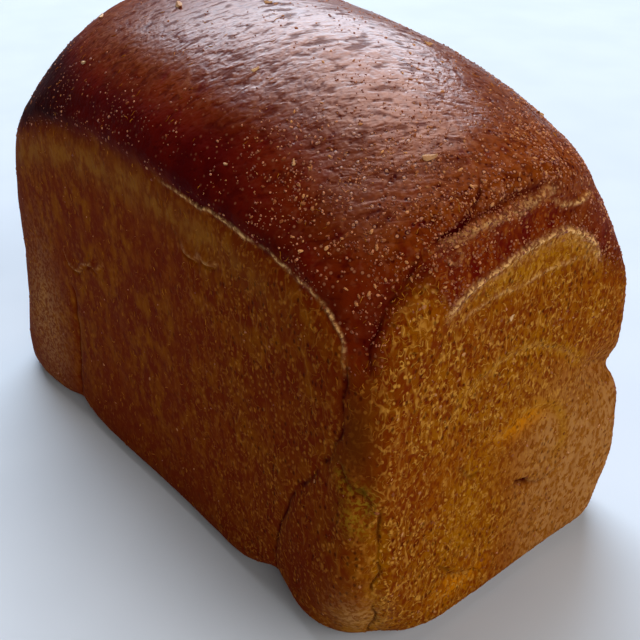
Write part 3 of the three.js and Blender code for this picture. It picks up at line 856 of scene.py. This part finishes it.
def green_share(points, strayed):
    """The torn edge at the near left corner is greenish."""
    return SLITS["torn edge"].strength(strayed, 2) + spots(points, GREEN_SPOTS)


def ruddy_share(points):
    """The side walls are redder towards the foot, and the crust round the near left corner."""
    return spots(points, RUDDY_SPOTS) + 0.9 * ease((34 - points[:, 2]) / 28) * (1 - end_share(points))


def gold_share(points, strayed):
    """Gold in the band below the arch, along the rolled turns, and low in the corner cleft."""
    cleft = 0.4 * Mark(CORNER_CLEFT, 2.2).strength(strayed) * (1 - ease((points[:, 2] - 40) / 10))
    turns = sum(Mark(raised(path, 1), 2).strength(strayed) for path in (OUTER_TURN, INNER_TURN))
    return spots(points, GOLD_SPOTS) + cleft + turns


def calm_share(points):
    """The lower right of each end wall is smoother and paler."""
    x, y, z = points.T
    return end_share(points) * ease((y * np.sign(x) + 8) / 24) * ease((70 - z) / 30)


def bloom_share(points):
    """A pale olive band just below the arch of each side, and a patch low on the near left corner."""
    below_arch = hump((points[:, 2] - edge_height(points) + 7) / 5) * ease((85 - points[:, 0]) / 60)
    return 0.8 * (1 - end_share(points)) * below_arch + spots(points, BLOOM_SPOTS)


def shine_share(points):
    """The dome shines along its top, less towards the far end, in the folds and past the shoulders."""
    x, y, z = points.T
    towards_near = blend(0.15, 1, ease((x + 48) / 80))
    shine = risen_share(points) * ease((z - edge_height(points) - 1) / 10) * towards_near
    half_width = blend(37, 40, ease((x - 45) / 20))
    shine = shine * blend(0.06, 1, ease((half_width - np.abs(y)) / 8) * ease((86 - np.abs(x)) / 12))
    fold, crack = Mark(SHOULDER_FOLD, 5).strength(points), Mark(CRACK, 5).strength(points)
    return shine * (1 - 0.7 * fold) * (1 - 0.5 * crack)


def painted_shade_share(points):
    """Painted shade: the dome is darker just above the arch of each side, and low down towards the far end.
    """
    x, y, z = points.T
    above_arch = hump((z - edge_height(points) - 5) / 8) * (1 - end_share(points)) * ease((82 - x) / 30)
    far = blend(0.57 * ease((-x - 5) / 45), 1, 0.85 * ease((-x - 8) / 34))
    return np.maximum(above_arch * 0.36, far * ease((122 - z) / 10) * risen_share(points))


def grit_share(points):
    """How coarse the crust is: on the walls most at the near end, on the dome where it is speckled."""
    x, y, z = points.T
    end = end_share(points)
    smooth_middle = ease((y * np.sign(x) + 24) / 30) * ease((70 - z) / 30)
    near_end = 0.85 * ease((x - 5) / 55) * (1 - end)
    walls = np.maximum(end * (1 - 0.5 * smooth_middle), np.maximum(near_end, 0.5 * bloom_share(points)))
    return blend(walls, speckled_share(points) * below_top(points), risen_share(points))


def paint_loaf(piece, plain):
    strayed = wander(plain, STRAY, STRAY_CELL)
    zones = risen_share(plain), end_share(plain), torn_share(plain, strayed), tear_shade_share(strayed)
    tints = (pale_and_sheen_share(plain, strayed), green_share(plain, strayed), ruddy_share(plain),
             gold_share(plain, strayed))
    patches = spots(plain, ORANGE_SPOTS), calm_share(plain), bloom_share(plain), spots(plain, DULL_SPOTS)
    dome = brown_share(plain), shine_share(plain), painted_shade_share(plain), grit_share(plain)
    paint(piece, "zones", zones)
    paint(piece, "tints", tints)
    paint(piece, "patches", patches)
    paint(piece, "dome", dome)


def make_loaf():
    bm = loaf_blank()
    plain = coordinates(bm)
    shaped = plain + crust_normals(plain) * relief(plain)[:, None]
    shaped[shaped[:, 2] < ON_BASE, 2] = 0
    middle = (shaped.min(0) + shaped.max(0)) / 2 * (1, 1, 0)
    set_coordinates(bm, (shaped - middle) * MM)
    bmesh.ops.recalc_face_normals(bm, faces=bm.faces)
    piece = mesh_object("wholemeal_loaf", bm, crust_finish())
    paint_loaf(piece, plain)
    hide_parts("loaf")
    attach(piece, "root")
    return piece, plain, middle


class Scatter:
    """Random places on the loaf, as many for its area as a density says."""

    def __init__(self, loaf, plain):
        mesh = loaf.data
        mesh.calc_loop_triangles()
        self.corners = np.zeros(len(mesh.loop_triangles) * 3, int)
        mesh.loop_triangles.foreach_get("vertices", self.corners)
        self.corners = self.corners.reshape(-1, 3)
        points = np.zeros(len(mesh.vertices) * 3)
        mesh.vertices.foreach_get("co", points)
        self.points = points.reshape(-1, 3) / MM
        a, b, c = (self.points[self.corners[:, i]] for i in range(3))
        cross = np.cross(b - a, c - a)
        self.areas = np.linalg.norm(cross, axis=1)
        self.normals = cross / (self.areas[:, None] + 1e-12)
        self.plain = plain[self.corners].mean(1)
        self.risen = risen_share(self.plain)
        self.speckled = speckled_share(self.plain)
        patchy = blend(0.25, 1.6, ease(0.5 + 1.1 * uneven(self.plain, 5, 51)))
        self.clusters = below_top(self.plain) * patchy * (1 - spots(self.plain, BARE_SPOTS))
        self.rough = 1 - 0.85 * spots(self.plain, DULL_SPOTS)

    def places(self, count, density, rng):
        """Seats on the surface, each with its outward direction."""
        weight = self.areas * density * (self.plain[:, 2] > 3)
        chosen = rng.choice(len(weight), count, p=weight / weight.sum())
        shares = rng.dirichlet((1, 1, 1), count)
        seats = (self.points[self.corners[chosen]] * shares[:, :, None]).sum(1)
        return seats, self.normals[chosen]

    def nearest(self, places):
        """The seats on the surface that are nearest to places on the plain crust."""
        chosen = [int(np.argmin(((self.plain - place) ** 2).sum(1))) for place in places]
        return self.points[self.corners[chosen]].mean(1), self.normals[chosen]


def many(bm, doublings):
    """Double the shape again and again. Gives each vertex's copy, and its corner of the shape."""
    layers = bm.verts.layers.int
    layers.new("corner")
    layers.new("copy")
    for i, vertex in enumerate(bm.verts):
        vertex[layers["corner"]] = i
    for step in range(doublings):
        made = bmesh.ops.duplicate(bm, geom=[*bm.verts, *bm.edges, *bm.faces])["geom"]
        for vertex in (part for part in made if isinstance(part, bmesh.types.BMVert)):
            vertex[layers["copy"]] += 2 ** step
    corners = np.array([vertex[layers["corner"]] for vertex in bm.verts])
    copies = np.array([vertex[layers["copy"]] for vertex in bm.verts])
    layers.remove(layers["corner"])
    layers.remove(layers["copy"])
    return copies, corners


# A direction that hardly any place on the crust faces, to measure turns from.
SLANT = (0.31, 0.17, 0.93)


def sit(shapes, seats, normals, spins):
    """Turn each shape to lie on the crust, and move it to its seat."""
    level = np.cross(normals, SLANT)
    level /= np.linalg.norm(level, axis=1, keepdims=True)
    other = np.cross(normals, level)
    forward = level * np.cos(spins)[:, None] + other * np.sin(spins)[:, None]
    sideways = np.cross(normals, forward)
    ways = (forward, sideways, normals)
    turned_shapes = sum(shapes[:, :, i, None] * way[:, None] for i, way in enumerate(ways))
    return turned_shapes + seats[:, None]


def speckle(name, bm, doublings, shape_all, scatter, density, spins, finish, seed):
    """Scatter copies of one small shape over the crust as one piece."""
    rng = np.random.default_rng(seed)
    template = coordinates(bm)
    copies, corners = many(bm, doublings)
    count = 2 ** doublings
    seats, normals = scatter.places(count, density, rng)
    shapes = shape_all(np.repeat(template[None], count, 0), rng)
    placed = sit(shapes, seats, normals, spins(count, rng))
    set_coordinates(bm, placed[copies, corners] * MM)
    piece = mesh_object(name, bm, finish)
    paint(piece, "tone", [(rng.random(count) ** 2)[copies]])
    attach(piece, "root")
    return piece


# Bran and blisters, in millimetres.
FLAKE_DOUBLINGS, FLAKE_LENGTH, FLAKE_WIDTH, FLAKE_THICKNESS = 12, (0.3, 1.5), 0.6, 0.18
BLISTER_DOUBLINGS, BLISTER_SIZE, BLISTER_HEIGHT = 13, (0.25, 0.85), 0.52
FIBRE_DOUBLINGS, FIBRE_LENGTH, FIBRE_THICKNESS = 13, (0.9, 2.2), 0.3
FLAKE_SEED, BLISTER_SEED, FIBRE_SEED = 21, 22, 23


def random_spins(count, rng):
    return rng.uniform(0, 2 * math.pi, count)


def upright_spins(count, rng):
    """Mostly up and down the wall, as the dough was drawn along the tin."""
    return math.pi / 2 + rng.normal(0, 0.7, count)


def hexagon(top_share):
    """A six-sided chip, one across and one high, narrower at the top."""
    bm = bmesh.new()
    bmesh.ops.create_cone(bm, cap_ends=True, segments=6, radius1=0.5, radius2=0.5 * top_share, depth=1)
    return bm


def make_flakes(scatter):
    def shape(shapes, rng):
        count = len(shapes)
        length = blend(*FLAKE_LENGTH, rng.random(count) ** 3.5)
        uneven_rim = rng.uniform(0.75, 1.25, shapes.shape[:2])
        width = length * FLAKE_WIDTH * rng.uniform(0.7, 1.2, count)
        size = np.stack([length, width, np.full(count, FLAKE_THICKNESS)], 1)
        shapes[:, :, :2] *= uneven_rim[:, :, None]
        return shapes * size[:, None]

    finish = speck_finish("bran flake", rgb(108, 40, 8), rgb(206, 144, 92), 0.6, 0.04)
    walls = (1 - scatter.risen) * blend(0.004, 0.1, end_share(scatter.plain))
    density = (walls + scatter.risen * blend(0.08, 1, scatter.speckled)) * scatter.clusters
    speckle("bran_flakes", hexagon(0.8), FLAKE_DOUBLINGS, shape, scatter, density, random_spins, finish,
            FLAKE_SEED)


def make_blisters(scatter):
    def shape(shapes, rng):
        shapes[:, :, :2] *= rng.uniform(0.7, 1.3, shapes.shape[:2])[:, :, None]
        across = blend(*BLISTER_SIZE, rng.random(len(shapes)) ** 2)
        size = np.stack([across * rng.uniform(1, 1.5, len(shapes)), across, across * BLISTER_HEIGHT], 1)
        return shapes * size[:, None]

    finish = speck_finish("crust blister", rgb(100, 32, 8), rgb(202, 130, 88), 0.42, 0.35)
    density = (0.004 + scatter.risen * blend(0.1, 1, scatter.speckled)) * scatter.clusters
    speckle("crust_blisters", hexagon(0.45), BLISTER_DOUBLINGS, shape, scatter, density, random_spins,
            finish, BLISTER_SEED)


def sliver():
    """A three-sided sliver, one long, in three lengths, pointed at both ends."""
    bm = bmesh.new()
    bmesh.ops.create_cone(bm, cap_ends=True, segments=3, radius1=0.5, radius2=0.5, depth=1)
    along = [e for e in bm.edges if abs(e.verts[0].co.z - e.verts[1].co.z) > 0.5]
    bmesh.ops.subdivide_edges(bm, edges=along, cuts=2, use_grid_fill=True)
    for vertex in bm.verts:
        x, y, z = vertex.co
        taper = 1 - 2.4 * z * z
        vertex.co = (z, x * taper, y * taper)
    return bm


def make_fibres(scatter):
    def shape(shapes, rng):
        count = len(shapes)
        length = blend(*FIBRE_LENGTH, rng.random(count) ** 2)
        thick = FIBRE_THICKNESS * rng.uniform(0.7, 1.3, count)
        shapes = shapes * np.stack([length, thick, thick * 0.8], 1)[:, None]
        bend = rng.normal(0, 0.35, count)
        shapes[:, :, 1] += bend[:, None] * shapes[:, :, 0] ** 2
        shapes[:, :, 1] += 0.12 * np.sin(shapes[:, :, 0] * 4 + rng.uniform(0, 6, count)[:, None])
        return shapes

    finish = speck_finish("bran fibre", rgb(120, 58, 2), rgb(179, 115, 38), 0.7, 0.04)
    walls = (1 - scatter.risen) * blend(0.05, 1, end_share(scatter.plain))
    density = walls * (1 - 0.6 * calm_share(scatter.plain)) * scatter.rough + 0.02
    speckle("bran_fibres", sliver(), FIBRE_DOUBLINGS, shape, scatter, density, upright_spins, finish,
            FIBRE_SEED)


# Whole flakes of bran: place, length and turn.
HUSKS = [(78, -17, 119, 3.4, 0.9), (-13, -17, 133, 3.8, 0.2), (41, -42, 113, 1.3, 0.5),
         (56, -35, 116, 1.7, 2.4), (12, -8, 136, 2.4, 1.2), (50, 8, 130, 2.2, 0), (70, 22, 112, 2.8, 1.8),
         (20, 30, 120, 2.6, 2.8), (-30, -38, 118, 2.2, 0.7), (-60, 10, 128, 3, 1.5), (-80, -12, 110, 3, 2.2),
         (-10, 38, 110, 2, 0.4), (-48, -24, 128, 2.6, 3), (30, -26, 128, 2.1, 1.4), (-70, 30, 108, 2.4, 0.8),
         (95, -6, 84, 1.8, 1.1)]
HUSK_WIDTH, HUSK_THICKNESS, HUSK_CURL, HUSK_LIFT = 0.42, 0.16, 0.5, 0.1


def make_husks(scatter):
    bm = bmesh.new()
    bmesh.ops.create_uvsphere(bm, u_segments=14, v_segments=9, radius=0.5)
    for vertex in bm.verts:
        x, y, z = vertex.co
        ridge = 0.1 * math.cos(9 * y) + 0.06 * math.sin(7 * x + 5 * y)
        wavy_rim = 1.1 + 0.3 * math.sin(5 * x)
        vertex.co = (x, y * HUSK_WIDTH * wavy_rim, z * HUSK_THICKNESS + ridge * 0.5 + HUSK_CURL * x * x)
    template = coordinates(bm)
    copies, corners = many(bm, int(math.log2(len(HUSKS))))
    places = np.array(HUSKS)
    seats, normals = scatter.nearest(places[:, :3])
    shapes = template[None] * places[:, 3, None, None]
    placed = sit(shapes, seats + normals * HUSK_LIFT, normals, places[:, 4])
    set_coordinates(bm, placed[copies, corners] * MM)
    finish = speck_finish("bran husk", rgb(144, 86, 44), rgb(220, 176, 124), 0.5, 0.3)
    piece = mesh_object("bran_husks", bm, finish)
    paint(piece, "tone", [np.linspace(0.3, 0.9, len(HUSKS))[copies]])
    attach(piece, "root")


# The camera, in millimetres from the tin's middle line, with its angles and field of view.
CAMERA_PLACE = (206.4, -153.5, 194)
CAMERA_AZIMUTH, CAMERA_PITCH = 50.17, 31.46
FOCAL_PIXELS, FRAME_PIXELS = 967.7, 640
SENSOR = 36


def make_camera(middle):
    data = bpy.data.cameras.new("camera")
    data.sensor_width = SENSOR
    data.lens = FOCAL_PIXELS / FRAME_PIXELS * SENSOR
    data.clip_start, data.clip_end = 0.01, 50
    camera = bpy.data.objects.new("camera", data)
    camera.location = (Vector(CAMERA_PLACE) - Vector(middle)) * MM
    camera.rotation_euler = (math.radians(90 - CAMERA_PITCH), 0, math.radians(CAMERA_AZIMUTH))
    bpy.context.collection.objects.link(camera)
    bpy.context.scene.camera = camera


# Soft lamps: name, place in metres, size, watts and colour.
LAMPS = [
    ("window", (-2.8, 1.8, 2.8), (4.2, 2.4), 216, (0.8, 0.96, 1.12)),
    ("ceiling", (-0.85, 0.6, 3.3), (2.2, 2), 57, (1, 0.89, 0.82)),
    ("right window", (3.6, 1.2, 2.6), (3.0, 2.4), 80, (1, 0.94, 0.88)),
    ("fill", (3.4, -1.6, 2.2), (2.6, 2.2), 56, (1, 0.94, 0.86)),
]
LAMP_AIM = (0, 0, 0.07)
ROOM_COLOUR, ROOM_STRENGTH = (1, 0.88, 0.76, 1), 0.035
FLOOR_COLOURS = (0.58, 0.65, 0.74, 1), (0.61, 0.68, 0.77, 1)
FLOOR_REACH, FLOOR_PATCH = 4, 60


def area_light(name, place, size, power, colour):
    """A soft lamp, aimed at the loaf."""
    data = bpy.data.lights.new(name, "AREA")
    data.shape = "RECTANGLE"
    data.size, data.size_y = size
    data.energy = power
    data.color = colour
    light = bpy.data.objects.new(name, data)
    light.location = place
    light.rotation_euler = (Vector(LAMP_AIM) - Vector(place)).to_track_quat("-Z", "Y").to_euler()
    bpy.context.collection.objects.link(light)


def make_floor():
    f = Finish("pale floor")
    shade = f.noise(f.stretched(FLOOR_PATCH, FLOOR_PATCH, FLOOR_PATCH), 2)
    colour = f.mix(shade.between(0.3, 0.7), *FLOOR_COLOURS)
    sockets = {"Base Color": colour, "Roughness": 0.8, "Specular IOR Level": 0.05}
    material = f.surface(f.node("ShaderNodeBsdfPrincipled", {}, sockets))
    bm = bmesh.new()
    bmesh.ops.create_grid(bm, x_segments=1, y_segments=1, size=FLOOR_REACH)
    mesh_object("floor", bm, material)


def make_lights():
    for lamp in LAMPS:
        area_light(*lamp)
    world = bpy.data.worlds.new("room")
    world.use_nodes = True
    background = world.node_tree.nodes["Background"]
    background.inputs["Color"].default_value = ROOM_COLOUR
    background.inputs["Strength"].default_value = ROOM_STRENGTH
    bpy.context.scene.world = world
    bpy.context.scene.view_settings.view_transform = "Standard"


loaf, loaf_plain, loaf_middle = make_loaf()
crust = Scatter(loaf, loaf_plain)
make_flakes(crust)
make_blisters(crust)
make_fibres(crust)
make_husks(crust)
make_camera(loaf_middle)
make_floor()
make_lights()
